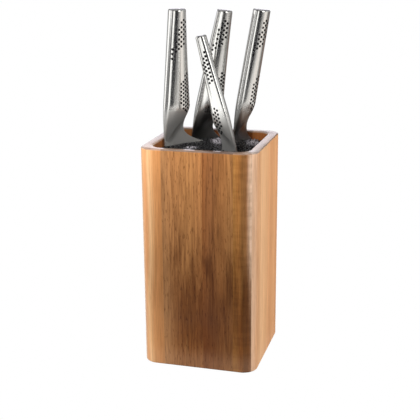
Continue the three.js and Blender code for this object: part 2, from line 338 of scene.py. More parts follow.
def new_piece(name, vertices, faces, materials, slots=None, sharp_angle=35):
    """A smooth-shaded object, with its edges sharp where they fold by more than sharp_angle."""
    mesh = bpy.data.meshes.new(name)
    mesh.from_pydata([tuple(v) for v in vertices], [], faces)
    for material in materials:
        mesh.materials.append(material)
    if slots is not None:
        mesh.polygons.foreach_set("material_index", slots)
    mesh.validate()
    mesh.shade_smooth()
    mesh.set_sharp_from_angle(angle=math.radians(sharp_angle))
    mesh.update()
    piece = bpy.data.objects.new(name, mesh)
    SCENE.collection.objects.link(piece)
    return piece


def repaint(node, material):
    """A CAD node keeps its shape and takes a detailed material."""
    materials = frame["nodes"][node].data.materials
    materials.clear()
    materials.append(material)


def tube_faces(rings, around, first=0):
    """Quads between successive closed rings of points, which start at vertex first."""
    faces = []
    for ring in range(rings - 1):
        for k in range(around):
            a = first + ring * around + k
            b = first + ring * around + (k + 1) % around
            faces.append((a, b, b + around, a + around))
    return faces


# ------------------------------------------------------------------ wood
def tone(*across, at=None, streaks=0.5, pores=0.3, figure=0.0, low_shade=0.0, drift=0.004,
         slant=0.0):
    """A stave's colours at the shares of its width in at, or evenly spaced, and how much it has
    of streaks, pores, cross figure and painted low shade, where the front wall is made darker low
    down as if less light reached it. Its colours wander sideways by drift, and lean by slant
    towards the foot, in metres."""
    places = at or [k / (len(across) - 1) for k in range(len(across))]
    return dict(across=tuple(zip(places, across)), streaks=streaks, pores=pores, figure=figure,
                low_shade=low_shade, drift=drift, slant=slant)


PALE = tone((222, 176, 132), (214, 164, 118), streaks=0.3, pores=0.1)
TAN = tone((214, 160, 114), (206, 150, 104), (214, 160, 112), streaks=0.3, pores=0.15)
STAVE_TONES = {
    "front": (
        # The cream stops at 0.32 and 0.42 of the first front stave are paler wood with a painted
        # highlight where the left corner turns to the light.
        tone((226, 162, 110), (228, 164, 112), (246, 196, 144), (238, 182, 128), (212, 150, 96),
             (205, 142, 88), (198, 138, 86), at=(0, 0.1, 0.32, 0.42, 0.62, 0.88, 1),
             streaks=0.3, pores=0.12),
        tone((170, 121, 78), (176, 122, 75), (174, 121, 73), (172, 117, 70), streaks=0.9,
             pores=0.8, low_shade=0.95),
        tone((143, 89, 49), (142, 92, 54), (158, 106, 62), (164, 114, 68), streaks=0.9,
             pores=0.7, low_shade=0.78),
        # The pale last stop of the fourth front stave is paler wood with a painted highlight on the
        # right corner; painted low shade darkens it towards the foot.
        tone((174, 122, 66), (170, 114, 60), (136, 93, 52), (140, 96, 58), (206, 174, 148),
             at=(0, 0.29, 0.54, 0.72, 1), streaks=0.45, pores=0.3, figure=1.0, low_shade=0.85,
             drift=0.0012, slant=0.0035),
    ),
    # The pale first stops of the first right stave are paler wood with a painted highlight by the
    # front corner.
    "right": (tone((208, 174, 148), (206, 166, 134), (202, 154, 114), (210, 162, 118),
                   at=(0, 0.18, 0.45, 1), streaks=0.3, pores=0.15), PALE, TAN, TAN),
    "back": (TAN, tone((140, 94, 58), (164, 114, 72), streaks=0.7, pores=0.6),
             tone((170, 120, 78), (150, 102, 64), streaks=0.7, pores=0.6), PALE),
    "left": (TAN, tone((160, 110, 68), (176, 124, 80), streaks=0.6, pores=0.5), TAN, PALE),
}
WALL_NAMES = ("front", "right", "back", "left")


def across_color(paint, stave, share):
    """The stave's colours from its left to its right, with any painted corner highlights that its
    tone holds.
    """
    ramp = paint.nodes.new("ShaderNodeValToRGB")
    ramp.color_ramp.interpolation = "EASE"
    elements = ramp.color_ramp.elements
    while len(elements) < len(stave["across"]):
        elements.new(0.5)
    for element, (place, color) in zip(elements, stave["across"]):
        element.position = place
        element.color = srgb(*color)
    paint.links.new(share, ramp.inputs["Fac"])
    return ramp.outputs["Color"]


def painted_low_shade(paint, x, height, streaks, strength):
    """Painted shade: how much darker the front wall is made low down, right of its first stave,
    where less light reaches it. At the foot, where light from the floor comes back, it is
    halved, except near the right corner.
    """
    low = paint.math("ADD", height, paint.ripple(streaks, -0.025, 0.025))
    patch = paint.math("MULTIPLY", paint.span(low, 0.15, 0.06), paint.span(x, -0.036, -0.012))
    off_foot = paint.span(low, 0.0, 0.03, 0.5, 1)
    fade = paint.math("MAXIMUM", off_foot, paint.span(x, 0.036, 0.046))
    return paint.math("MULTIPLY", patch, paint.math("MULTIPLY", fade, strength))


def wood_color(paint, stave, side, seed, left, right):
    """The colour of a stave whose grain runs up, and its fibres as a height."""
    turn = -side * math.pi / 2
    offset = (seed * 1.7, seed * 0.9, seed * 2.3)

    def grain(scale, detail, rough, distortion=0.0):
        return paint.noise(paint.place(scale, turn, offset), detail, rough, distortion)

    axes = paint.axes(turn)
    drift = paint.span(grain((16, 10, 5.5), 2, 0.5), 0.25, 0.75, -stave["drift"],
                       stave["drift"], False)
    x = paint.math("ADD", axes["X"], drift)
    if stave["slant"]:
        x = paint.math("SUBTRACT", x, paint.span(axes["Z"], 0.12, 0.0, 0, stave["slant"]))
    color = across_color(paint, stave, paint.span(x, left, right, 0, 1, False))

    # Streaks, fibres and figure are shares between a darker and a lighter shade of that colour.
    streaks = grain((150, 90, 11), 4, 0.62, 0.8)
    fibres = grain((640, 380, 26), 3, 0.6, 0.4)
    coarse, fine = 0.5 * stave["streaks"], 0.46 * stave["streaks"] + 0.09
    share = paint.math("ADD", 0.62, paint.ripple(streaks, -coarse, coarse, False))
    share = paint.math("ADD", share, paint.ripple(fibres, -fine, fine, False))
    if stave["figure"]:
        curl = grain((60, 40, 240), 2, 0.5, 0.2)
        share = paint.math("ADD", share, paint.span(curl, 0.35, 0.65, -0.14, 0.14, False))
    color = paint.mix(share, paint.tinted(color, (0.58, 0.53, 0.48)),
                      paint.tinted(color, (1.2, 1.21, 1.22)))
    # Painted shade: the lower front wall is darkened by low_shade.
    if stave["low_shade"]:
        patch = painted_low_shade(paint, x, axes["Z"], streaks, stave["low_shade"])
        color = paint.mix(patch, color, paint.tinted(color, (0.42, 0.31, 0.22)))

    # The foot catches light from the floor, and the inner walls lie in shade.
    foot = paint.span(axes["Z"], 0.027, 0.006, 0, 0.1)
    color = paint.mix(foot, color, srgb(235, 190, 160))
    inner = paint.span(axes["Y"], -INNER_HALF - 2 * MM, -INNER_HALF)
    color = paint.mix(inner, color, paint.tinted(color, (0.42, 0.29, 0.19)))

    pores = grain((900, 520, 130), 2, 0.5, 0.3)
    fleck = paint.math("MULTIPLY", paint.span(pores, 0.58, 0.68), stave["pores"])
    color = paint.mix(fleck, color, paint.tinted(color, (0.45, 0.4, 0.36)))
    return color, fibres


def wood_material(name, stave, side, seed, left, right):
    paint = Paint(name)
    color, fibres = wood_color(paint, stave, side, seed, left, right)
    paint.set(("Base Color", color), ("Roughness", paint.ripple(fibres, 0.42, 0.52)),
              ("Specular IOR Level", 0.22))
    paint.bump(fibres, 0.00005, 0.5)
    return paint.material


def rim_material(name, stave, side, seed):
    """The sawn and lacquered ends of the staves, greyer and darker than their faces."""
    paint = Paint(name)
    turn = -side * math.pi / 2
    spots = paint.noise(paint.place((900, 900, 30), turn, (seed, 0, 0)), 3)
    rings = paint.noise(paint.place((60, 260, 6), turn, (seed, 0, 0)), 3, 0.5, 0.5)
    face = srgb(*stave["across"][1][1])[:3]
    grey = sum(face) / 3
    dark, light = (tuple(amount * (0.6 * c + 0.4 * grey) for c in face) for amount in (0.5, 0.8))
    paint.set(("Base Color", paint.mix(paint.ripple(rings, 0, 1), (*dark, 1), (*light, 1))),
              ("Roughness", paint.ripple(spots, 0.3, 0.4)),
              ("Coat Weight", 1.0), ("Coat Roughness", 0.12), ("Coat IOR", 1.6))
    paint.bump(spots, 0.00004, 0.4)
    return paint.material


def contour(half, radius, along):
    """The front wall's outline at a signed length from its middle: the point and its normal."""
    straight = half - radius
    side = math.copysign(1, along)
    angle = max(abs(along) - straight, 0) / radius
    if angle == 0:
        return Vector((along, -half, 0)), Vector((0, -1, 0))
    normal = Vector((side * math.sin(angle), -math.cos(angle), 0))
    return Vector((side * straight, -straight, 0)) + normal * radius, normal


def along_at(half, radius, x):
    """The signed length along the outline at which it has that x."""
    straight = half - radius
    if abs(x) <= straight:
        return x
    return math.copysign(straight + radius * math.asin((abs(x) - straight) / radius), x)


def mitre(half, radius, side):
    """The signed length along the outline to the middle of a rounded corner."""
    return side * (half - radius + radius * math.pi / 4)


def stave_ends(wall, number):
    """The x of a stave's two cuts, with its wall turned to the front."""
    low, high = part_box(f"{wall}_stave_{number}")
    side = WALL_NAMES.index(wall)
    turn = Matrix.Rotation(-side * math.pi / 2, 3, "Z")
    xs = sorted((turn @ low, turn @ high), key=lambda p: p.x)
    return xs[0].x - SEAM / 2, xs[1].x + SEAM / 2


RIM_ROUND = 1.1 * MM
COLUMNS = 28
ROUND_STEPS = 5


def rounded_edge(point, inward, level, up, angles):
    """Points round an edge of the wall at height level, where up is 1 at the top, -1 below."""
    return [point + inward * RIM_ROUND * (1 - math.cos(angle))
            + Vector((0, 0, level - up * RIM_ROUND * (1 - math.sin(angle))))
            for angle in angles]


def stave_mesh(wall, number):
    """A stave as columns of points from cut to cut, with its top faces in slot 1."""
    left, right = stave_ends(wall, number)
    spans = []
    for half, radius in ((BLOCK_HALF, CORNER_RADIUS), (INNER_HALF, INNER_RADIUS)):
        start = mitre(half, radius, -1) if number == 1 else along_at(half, radius, left)
        end = mitre(half, radius, 1) if number == 4 else along_at(half, radius, right)
        spans.append((start, end))
    (outer_start, outer_end), (inner_start, inner_end) = spans
    opening = [math.pi / 2 * k / ROUND_STEPS for k in range(ROUND_STEPS + 1)]
    closing = opening[::-1]
    turn = Matrix.Rotation(WALL_NAMES.index(wall) * math.pi / 2, 3, "Z")
    vertices, faces, slots = [], [], []
    for column in range(COLUMNS + 1):
        share = column / COLUMNS
        outer, outer_normal = contour(BLOCK_HALF, CORNER_RADIUS,
                                      outer_start + share * (outer_end - outer_start))
        inner, inner_normal = contour(INNER_HALF, INNER_RADIUS,
                                      inner_start + share * (inner_end - inner_start))
        profile = rounded_edge(outer, -outer_normal, WOOD_BOTTOM, -1, closing)
        profile += rounded_edge(outer, -outer_normal, WOOD_TOP, 1, opening)
        profile += rounded_edge(inner, inner_normal, WOOD_TOP, 1, closing)
        profile.append(inner + Vector((0, 0, WOOD_BOTTOM)))
        vertices += [turn @ point for point in profile]
    size = len(profile)
    rim = range(ROUND_STEPS + 2, 3 * ROUND_STEPS + 2)
    for column in range(COLUMNS):
        for k in range(size):
            a = column * size + k
            b = column * size + (k + 1) % size
            faces.append((a, a + size, b + size, b))
            slots.append(1 if k in rim else 0)
    faces.append(tuple(range(size)))
    faces.append(tuple(reversed(range(COLUMNS * size, (COLUMNS + 1) * size))))
    slots += [0, 0]
    return vertices, faces, slots


def build_wood():
    for side, wall in enumerate(WALL_NAMES):
        for number in range(1, 5):
            node = f"{wall}_stave_{number}"
            stave_tone = STAVE_TONES[wall][number - 1]
            left, right = stave_ends(wall, number)
            seed = side * 4 + number
            grain = wood_material(f"{node}_grain", stave_tone, side, seed, left, right)
            end = rim_material(f"{node}_end", stave_tone, side, seed)
            vertices, faces, slots = stave_mesh(wall, number)
            stave = new_piece(f"{node}_fine", vertices, faces, [grain, end], slots)
            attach(stave, "block")
            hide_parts(node)
    repaint("base_board", wood_material("base_board_grain", TAN, 0, 21, -0.05, 0.05))


# ------------------------------------------------------------------ feet
def turned(profile, centre, steps=48):
    """The closed solid of a profile of (radius, height), from the axis to the axis."""
    vertices = [Vector((centre.x, centre.y, height)) for _, height in (profile[0], profile[-1])]
    for radius, height in profile[1:-1]:
        for k in range(steps):
            angle = 2 * math.pi * k / steps
            vertices.append(Vector((centre.x + radius * math.cos(angle),
                                    centre.y + radius * math.sin(angle), height)))
    rings = len(profile) - 2
    faces = tube_faces(rings, steps, first=2)
    last = 2 + (rings - 1) * steps
    for k in range(steps):
        n = (k + 1) % steps
        faces += [(0, 2 + n, 2 + k), (1, last + k, last + n)]
    return vertices, faces


def build_feet():
    rubber = grain_material("foot_rubber", 4000, 2, (24, 24, 24), (40, 40, 40), (0.75, 0.95),
                            bump=(0.00005, 0.5))
    edge, dish = 0.5 * MM, 0.3 * MM
    for number in range(1, 5):
        node = f"rubber_foot_{number}"
        low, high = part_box(node)
        centre, radius = (low + high) / 2, (high.x - low.x) / 2
        profile = [(0, low.z + dish), (radius * 0.55, low.z + dish), (radius * 0.68, low.z),
                   (radius - edge, low.z), (radius - 0.3 * edge, low.z + 0.3 * edge),
                   (radius, low.z + edge), (radius, high.z - edge), (radius - edge, high.z),
                   (0, high.z)]
        foot = new_piece(f"{node}_fine", *turned(profile, centre), [rubber])
        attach(foot, "block")
        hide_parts(node)


# ------------------------------------------------------------------ knives
# The CAD's driving sizes, in millimetres and degrees. turn is the blade's about its own axis,
# droop the grip's towards the edge. heel, neck, guard and butt are widths, grip a thickness.
# neck_at, guard_at and reach are heights over the bristles, and depth the blade's under them.
# tip is how far in from the spine the point lies, and the powers curve the blade's two sides.
# satin and haze are how rough and how dull the neck gets near the block. shade is painted shade:
# how much darker its colour is made there, standing in for the dark things it reflects.
KNIVES = {
    "chef_knife": dict(
        turn=46, droop=5.2, heel=44, neck=21.8, guard=28.4, butt=17, grip=15.8, reach=132,
        neck_at=18, guard_at=38, depth=188, tip=12, spine_power=4, edge_power=2.6, satin=0.42,
        haze=0.12, shade=0.48),
    "santoku_knife": dict(
        turn=15, droop=6.5, heel=38, neck=20.4, guard=27.4, butt=15.5, grip=15.2, reach=132,
        neck_at=16, guard_at=38, depth=150, tip=25, spine_power=5, edge_power=6, satin=0.16,
        haze=0.0, shade=0.68),
    "utility_knife": dict(
        turn=44, droop=4.4, heel=24.4, neck=14.6, guard=20.3, butt=17.6, grip=14.8, reach=132,
        neck_at=17, guard_at=40, depth=165, tip=10, spine_power=4, edge_power=3, satin=0.16,
        haze=0.0, shade=0.55),
    "paring_knife": dict(
        turn=170, droop=5.5, heel=17.8, neck=13.8, guard=18, butt=10, grip=10.5, reach=114,
        neck_at=12, guard_at=32, depth=78, tip=11, spine_power=3, edge_power=3, satin=0.3,
        haze=0.3, shade=0.6),
}
# The height from which the grip droops, and the length over which the droop sets in.
BEND_START, BEND_LENGTH = 16, 25
# A blade's thickness at the spine, and at the edge before it is ground.
BLADE_BACK, BLADE_EDGE = 2.2, 0.5
# Above HANDLE_JOIN the section is all grip. Below it, the ridge where the grip starts to fall to
# the blade's flat lies at RIDGE_LOW of the width at the bristles, and the fall takes NECK_SWEEP.
HANDLE_JOIN = 30
RIDGE_LOW = -0.14
NECK_SWEEP = 0.6
# The spine's and the belly's own rounding, as a share of the thickness.
SPINE_ROUND = 0.06
# How sharply the heel draws in, the grip bulges, thickens over the neck, and falls to the flat.
HEEL_POWER, GRIP_BULGE, SWELL_POWER, FALL_POWER = 2.4, 0.15, 1.4, 2.2
# Half the grip's section, spine to belly, as shares of its width and of its thickness.
GRIP_SIDE = ((0, 0), (0.02, 0.17), (0.09, 0.37), (0.35, 0.5), (0.65, 0.46), (0.88, 0.29),
             (0.985, 0.09), (1, 0))


def smoothstep(u):
    u = np.clip(u, 0, 1)
    return u * u * (3 - 2 * u)


def node_points(node):
    mesh = frame["nodes"][node].data
    points = np.zeros(len(mesh.vertices) * 3, np.float32)
    mesh.vertices.foreach_get("co", points)
    return points.reshape(-1, 3).astype(float)


def knife_frame(name):
    """A knife's own frame in the row frame, in metres: origin, then x, y and z directions.
    x runs from spine to edge and z up the handle. The origin is where the spine meets the tops
    of the bristles."""
    up = np.array(next(j["axis"] for j in frame["joints"] if j["child"] == name), float)
    up /= np.linalg.norm(up)
    level = np.array([1.0, 0, 0]) - up[0] * up
    level /= np.linalg.norm(level)
    turn = math.radians(KNIVES[name]["turn"])
    to_edge = level * math.cos(turn) + np.cross(up, level) * math.sin(turn)
    across = np.cross(up, to_edge)
    blade = node_points(f"{name}_blade")
    spine = (blade @ to_edge).min()
    middle = ((blade @ across).min() + (blade @ across).max()) / 2
    flat = spine * to_edge + middle * across
    origin = flat + up * (BRISTLE_TOP - flat[2]) / up[2]
    return origin, to_edge, across, up


def placed(points, place):
    """Points of a knife's own frame, in millimetres, in the row frame."""
    origin, x, y, z = place
    points = np.asarray(points) * MM
    return origin + points[:, :1] * x + points[:, 1:2] * y + points[:, 2:] * z


def in_knife(points, place):
    """x, y and z of points of the row frame in a knife's own frame, in millimetres."""
    origin, x, y, z = place
    local = (points - origin) / MM
    return local @ x, local @ y, local @ z


def droop_at(knife, z):
    """How far the spine has moved towards the edge at height z."""
    rise = np.maximum(z - BEND_START, 0)
    slope = math.tan(math.radians(knife["droop"]))
    return np.where(rise < BEND_LENGTH, slope * rise * rise / (2 * BEND_LENGTH),
                    slope * (rise - BEND_LENGTH / 2))


def width_at(knife, z):
    heel, neck, guard, butt = (knife[k] for k in ("heel", "neck", "guard", "butt"))
    neck_at, guard_at, reach = (knife[k] for k in ("neck_at", "guard_at", "reach"))
    low = neck + (heel - neck) * np.clip(1 - z / neck_at, 0, 1) ** HEEL_POWER
    middle = neck + (guard - neck) * smoothstep((z - neck_at) / (guard_at - neck_at))
    up = (z - guard_at) / (reach - guard_at)
    high = guard + (butt - guard) * ((1 + GRIP_BULGE) * up - GRIP_BULGE * up * up)
    return np.where(z < neck_at, low, np.where(z < guard_at, middle, high))


def thickness_at(knife, z):
    rise = np.sin(math.pi / 2 * np.clip(z / (knife["guard_at"] + 4), 0, 1))
    return BLADE_BACK + (knife["grip"] - BLADE_BACK) * rise ** SWELL_POWER


def blade_sides(knife, share):
    """x of the spine and of the edge at a share of the blade's depth."""
    tip, heel = knife["tip"], knife["heel"]
    spine = tip * share ** knife["spine_power"]
    edge = tip + (heel - tip) * (1 - share ** knife["edge_power"])
    return spine, edge


def through(points, mirror, steps):
    """A smooth curve through points, with their mirror images beyond both ends."""
    curve = []
    for k in range(len(points) - 1):
        a, b = points[k], points[k + 1]
        before = points[k - 1] if k > 0 else b * mirror
        after = points[k + 2] if k < len(points) - 2 else a * mirror
        for u in np.linspace(0, 1, steps, endpoint=False):
            curve.append(0.5 * ((2 * a) + (b - before) * u
                                + (2 * before - 5 * a + 4 * b - after) * u ** 2
                                + (3 * a - before - 3 * b + after) * u ** 3))
    return np.array(curve + [points[-1]])


def grip_outline(count):
    """Half the grip's section, spine to belly, as shares of the width and of the thickness. Its
    points are evenly spaced, and its edges softly rounded, on a grip of a usual size."""
    usual, mirror = np.array((24.0, 15.0)), np.array((1, -1))
    rounding_radius, dense_count = 0.45, 1200
    curve = through(np.array(GRIP_SIDE) * usual, mirror, 60)
    length = np.r_[0, np.cumsum(np.linalg.norm(np.diff(curve, axis=0), axis=1))]
    even = np.linspace(0, length[-1], dense_count)
    curve = np.c_[np.interp(even, length, curve[:, 0]), np.interp(even, length, curve[:, 1])]
    rounding = int(rounding_radius / (even[1] - even[0]))
    kernel = np.hanning(2 * rounding + 3)[1:-1]
    kernel /= kernel.sum()
    longer = np.r_[curve[rounding:0:-1] * mirror, curve, curve[-2:-rounding - 2:-1] * mirror]
    curve = np.c_[np.convolve(longer[:, 0], kernel, "valid"),
                  np.convolve(longer[:, 1], kernel, "valid")]
    pick, dense = np.linspace(0, len(curve) - 1, count), np.arange(len(curve))
    u, v = (np.interp(pick, dense, curve[:, k]) / usual[k] for k in (0, 1))
    u = (u - u.min()) / (u.max() - u.min())
    v[0] = v[-1] = 0
    return u, v


def half_section(knife, z, u, v):
    """x and y on one side of the neck or grip at heights z, for shares u and v of the section."""
    thick = thickness_at(knife, z)
    thin = (BLADE_BACK + (BLADE_EDGE - BLADE_BACK) * u) / 2 * np.minimum(1, v / SPINE_ROUND)
    full = np.maximum(v * thick, thin)
    ridge = RIDGE_LOW + (1 - RIDGE_LOW) * z / HANDLE_JOIN
    fall = np.clip((u - ridge) / NECK_SWEEP, 0, 1)
    y = thin + (full - thin) * (1 - fall) ** FALL_POWER
    return droop_at(knife, z) + u * width_at(knife, z), y


# Dimples lie on a staggered grid inside leaves. Each leaf has a pitch along the knife, and
# rows of height, and of the leaf's two sides as shares of the width from the spine.
DIMPLE_RADIUS = 1.2
DIMPLE_COLUMNS = 2.7
LEAF_COLUMNS, LEAF_START = 14, 0.93
DIMPLE_DEPTH = 0.4
LARGE_LEAVES = (
    (3.75, ((31, 0.74, 0.8), (35, 0.6, 0.95), (42, 0.48, 0.95), (50, 0.42, 0.95),
            (57, 0.46, 0.95), (64, 0.56, 0.95), (71, 0.82, 0.95))),
    (4.5, ((86, 0.06, 0.16), (91, 0.06, 0.36), (96, 0.08, 0.6), (100, 0.18, 0.7),
           (106, 0.29, 0.8), (112, 0.33, 0.84), (119, 0.45, 0.84), (126, 0.6, 0.75))),
)
SMALL_LEAVES = (
    (3.9, ((17, 0.8, 0.9), (21, 0.56, 0.95), (25, 0.44, 0.82), (36, 0.42, 0.8),
           (41, 0.4, 0.8), (44, 0.46, 0.72), (47.5, 0.58, 0.66))),
    (3.9, ((69.2, 0.25, 0.55), (72, 0.22, 0.6), (76, 0.2, 0.68), (79, 0.18, 0.76),
           (87, 0.16, 0.76), (91, 0.2, 0.68), (95, 0.24, 0.52), (99, 0.24, 0.34))),
)


def dimple_centres(name, knife):
    """Each dimple's height and its place across the knife's side."""
    centres = []
    for pitch, leaf in SMALL_LEAVES if name == "paring_knife" else LARGE_LEAVES:
        heights, lefts, rights = np.array(leaf).T
        middle = float(width_at(knife, heights.mean()))
        for column in range(LEAF_COLUMNS):
            share = LEAF_START - column * DIMPLE_COLUMNS / middle
            z = heights[0] + (column % 2) * pitch / 2
            while z <= heights[-1]:
                if np.interp(z, heights, lefts) <= share <= np.interp(z, heights, rights):
                    centres.append((z, droop_at(knife, z) + share * width_at(knife, z)))
                z += pitch
    return np.array(centres, float)


RING_STEP = 0.42
SIDE_STEPS = 84
BUTT_ROUND = 1.6
BUTT_STEPS = 5
# A dimple's rim pulls in the points that are this near to it, but none on the spine or belly.
RIM_PULL = 0.24
SIDE_MARGIN = 0.03
TINY = 1e-6


def dimpled_side(name, knife):
    """One side of a handle, as rows of x, y and z from the block up, and which points lie in a
    dimple."""
    levels = np.r_[np.arange(0, knife["reach"] - BUTT_ROUND, RING_STEP),
                   knife["reach"] - BUTT_ROUND]
    u, v = grip_outline(SIDE_STEPS + 1)
    z, share = np.meshgrid(levels, u, indexing="ij")
    x, y = half_section(knife, z, share, np.broadcast_to(v, z.shape))
    centres = dimple_centres(name, knife)
    dx = x[None] - centres[:, 1, None, None]
    dz = z[None] - centres[:, 0, None, None]
    off = np.hypot(dx, dz)
    nearest = off.argmin(0)
    rows, columns = np.indices(z.shape)
    dx, dz, off = (a[nearest, rows, columns] for a in (dx, dz, off))

    # Points near a dimple's rim move onto it, along the handle and across the section.
    middle = (share > SIDE_MARGIN) & (share < 1 - SIDE_MARGIN)
    snap = middle & (np.abs(off - DIMPLE_RADIUS) < RIM_PULL)
    scale = np.where(snap, DIMPLE_RADIUS / np.maximum(off, TINY), 1.0)
    new_x, new_z = x + dx * (scale - 1), z + dz * (scale - 1)
    new_u = np.clip((new_x - droop_at(knife, new_z)) / width_at(knife, new_z), 0, 1)
    new_v = np.interp(new_u, u[4:-4], v[4:-4])
    new_x, new_y = half_section(knife, new_z, new_u, new_v)
    x, y, z = (np.where(snap, new, old) for new, old in ((new_x, x), (new_y, y), (new_z, z)))
    off = np.where(snap, DIMPLE_RADIUS, off)

    bowl = DIMPLE_DEPTH * np.sqrt(np.maximum(1 - (off / DIMPLE_RADIUS) ** 2, 0))
    y = y - np.where(middle & (off < DIMPLE_RADIUS - TINY), bowl, 0)
    return x, y, z, middle & (off <= DIMPLE_RADIUS + TINY)


def ringed(side, other):
    """Rows of one side and then of the other, as closed rings that share spine and belly."""
    return np.concatenate([side, other[:, -2:0:-1]], 1)


def butt_rings(last, centre):
    """The rounding of the butt: the last ring of the grip, shrunk towards the centre."""
    size = np.abs(last[:, :2] - centre[:2]).max(0)
    rings = []
    for step in range(1, BUTT_STEPS + 1):
        angle = math.pi / 2 * step / BUTT_STEPS
        shrink = BUTT_ROUND * (1 - math.cos(angle))
        ring = last.copy()
        ring[:, :2] = centre[:2] + (last[:, :2] - centre[:2]) * (size - shrink) / size
        ring[:, 2] = centre[2] - BUTT_ROUND * (1 - math.sin(angle))
        rings.append(ring)
    return np.stack(rings)


def handle_mesh(name, knife):
    """A handle with both its sides, closed at the ends, with its dimples in slot 1."""
    x, y, z, dimple = dimpled_side(name, knife)
    grip = np.stack([ringed(x, x), ringed(-y, y), ringed(z, z)], -1)
    last = grip[-1]
    centre = np.array([last[:, 0].mean(), 0, knife["reach"]])
    rings = np.concatenate([grip, butt_rings(last, centre)])
    count, around = rings.shape[:2]
    faces = tube_faces(count, around)
    marks = np.zeros(count * around, bool)
    marks[:dimple.shape[0] * around] = ringed(dimple, dimple).ravel()
    slots = marks[np.array(faces)].all(1).astype(int).tolist()
    bottom, top, start = count * around, count * around + 1, (count - 1) * around
    vertices = np.concatenate([rings.reshape(-1, 3), [rings[0].mean(0)], [centre]])
    for k in range(around):
        n = (k + 1) % around
        faces += [(bottom, n, k), (top, start + k, start + n)]
    return vertices, faces, slots + [0] * (2 * around)


BLADE_RINGS = 90
BLADE_COLUMNS = 17
# The first ring's step from the point, and how the rings crowd towards it.
POINT_GAP, POINT_CROWD = 0.012, 1.3
# The share of the depth from which the blade thins towards its point, and how fast.
POINT_FROM, POINT_TAPER = 0.9, 3
# The share of the width beyond which the edge is ground, and half its thickness there.
GROUND_FROM, GROUND_HALF = 0.96, 0.08


def blade_mesh(knife):
    """The blade from its tip to just inside the neck, with a ground edge."""
    shares = 1 - np.linspace(POINT_GAP, 1, BLADE_RINGS) ** POINT_CROWD
    u = np.linspace(0, 1, BLADE_COLUMNS)
    flat = (BLADE_BACK + (BLADE_EDGE - BLADE_BACK) * u) / 2
    flat = np.where(u > GROUND_FROM, GROUND_HALF, flat)
    rings = []
    for share in shares:
        spine, edge = blade_sides(knife, share)
        half = flat * (1 - POINT_TAPER * max(share - POINT_FROM, 0))
        x = spine + u * (edge - spine)
        z = np.full_like(u, -share * knife["depth"])
        side = np.stack([x, -half, z], 1)
        other = np.stack([x, half, z], 1)[::-1]
        rings.append(np.concatenate([side, other]))
    around = 2 * BLADE_COLUMNS
    faces = tube_faces(BLADE_RINGS, around)
    faces.append(tuple(reversed(range(around))))
    faces.append(tuple(range((BLADE_RINGS - 1) * around, BLADE_RINGS * around)))
    return np.concatenate(rings), faces


def steel_material(name, bright, low, high, up, satin=0.0, haze=0.0, shade=0.0):
    """Brushed along up, a little uneven in gloss; near the block rougher by satin, duller by haze,
    and darkened by shade, which is painted shade.
    """
    paint = Paint(name)
    upright = tuple(Vector(up).rotation_difference(Vector((0, 0, 1))).to_euler())
    lines = paint.noise(paint.place((2600, 2600, 12), upright), 3, 0.6)
    clouds = paint.noise(paint.place((60, 60, 25)), 2)
    rough = paint.math("ADD", paint.ripple(lines, low, high), paint.ripple(clouds, -0.02, 0.03))
    darker = srgb(*(c - 8 for c in bright))
    color = paint.mix(paint.span(lines, 0.35, 0.65), darker, srgb(*bright))
    metal = 1.0
    if satin:
        height = paint.axes()["Z"]
        near = paint.span(height, BRISTLE_TOP + 45 * MM, BRISTLE_TOP + 20 * MM)
        rough = paint.math("ADD", rough, paint.math("MULTIPLY", near, satin))
        # Painted shade: the colour near the block is darkened by shade.
        color = paint.mix(paint.math("MULTIPLY", near, shade), color, (0.004, 0.003, 0.002, 1))
        metal = paint.math("SUBTRACT", 1.0, paint.math("MULTIPLY", near, haze))
    paint.set(("Base Color", color), ("Roughness", rough), ("Metallic", metal))
    paint.bump(clouds, 0.00002, 0.3)
    return paint.material


def build_knives(places):
    blade_steel = steel_material("blade_steel", (196, 195, 192), 0.28, 0.38, (0, 0, 1))
    black = grain_material("dimple_black", 3000, 2, (6, 6, 7), (14, 14, 15), (0.5, 0.65),
                           specular=0.2)
    fill = grain_material("balance_fill", 1500, 3, (150, 128, 92), (206, 186, 148), (0.85, 1.0),
                          bump=(0.0003, 0.6))
    for name, knife in KNIVES.items():
        handle_steel = steel_material(f"{name}_handle_steel", (230, 229, 226), 0.13, 0.17,
                                      places[name][3], knife["satin"], knife["haze"],
                                      knife["shade"])
        vertices, faces, slots = handle_mesh(name, knife)
        handle = new_piece(f"{name}_handle", placed(vertices, places[name]), faces,
                           [handle_steel, black], slots, sharp_angle=28)
        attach(handle, name)
        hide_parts(f"{name}_handle_shell_1", f"{name}_handle_shell_2")
        vertices, faces = blade_mesh(knife)
        blade = new_piece(f"{name}_blade_fine", placed(vertices, places[name]), faces,
                          [blade_steel], sharp_angle=25)
        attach(blade, name)
        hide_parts(f"{name}_blade")
        repaint(f"{name}_balance_fill", fill)


# ------------------------------------------------------------------ bristles
ROD_PITCH = 2.3 * MM
ROD_RADIUS = 0.85 * MM
ROD_SIDES = 6
ROD_RINGS = 8
# In millimetres from a blade's outline: where rods start to bend aside, and where they are fully
# clear of its flat, by BLADE_GAP. A rod that still touches within HEEL_MARGIN is left out.
BEND_MARGIN, FULL_BEND = 3.0, 0.9
BLADE_GAP, TOUCH = 0.25, 0.1
HEEL_MARGIN = 0.8
# Painted glints, where the rods' tips are made pale grey as if they caught the light from behind
# the block: place and half size, across and into the block, as the camera sees it.
GLINT_PATCHES = ((0.006, 0.03, 0.009, 0.022), (0.042, 0.02, 0.01, 0.022),
                (-0.021, -0.002, 0.009, 0.009))
GLINT_TURN = -CAMERA_AZIMUTH


